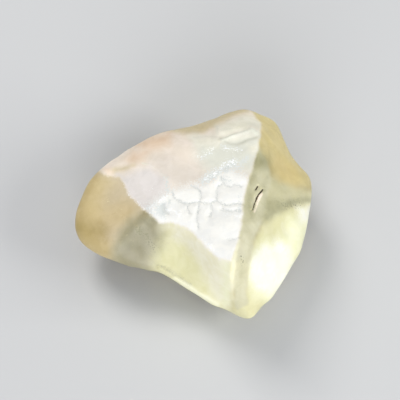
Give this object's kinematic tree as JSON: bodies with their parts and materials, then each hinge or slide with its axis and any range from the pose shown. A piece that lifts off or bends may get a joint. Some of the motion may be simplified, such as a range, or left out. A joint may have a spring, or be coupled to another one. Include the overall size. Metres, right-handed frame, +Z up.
{
  "type": "libyan desert glass",
  "caption": "Wind-polished nugget of natural yellow silica glass with a flat frosted face, a sharp ridge and smooth scooped sides, lying on its back.",
  "frame": {"origin": "centre of the bounding box on the floor plane that the small flat spot rests on", "axes": "+X along the longest extent, from the thin rounded end to the scooped end; +Y toward the blunt corner at the back; +Z up, the shortest extent"},
  "size_m": [0.044, 0.0404, 0.0211],
  "materials": {
    "desert_glass": "natural pale yellow silica glass, wind-frosted to a soft satin, with one white sugary face"
  },
  "bodies": {
    "root": {"desert_glass": "desert_glass"}
  },
  "joints": []
}
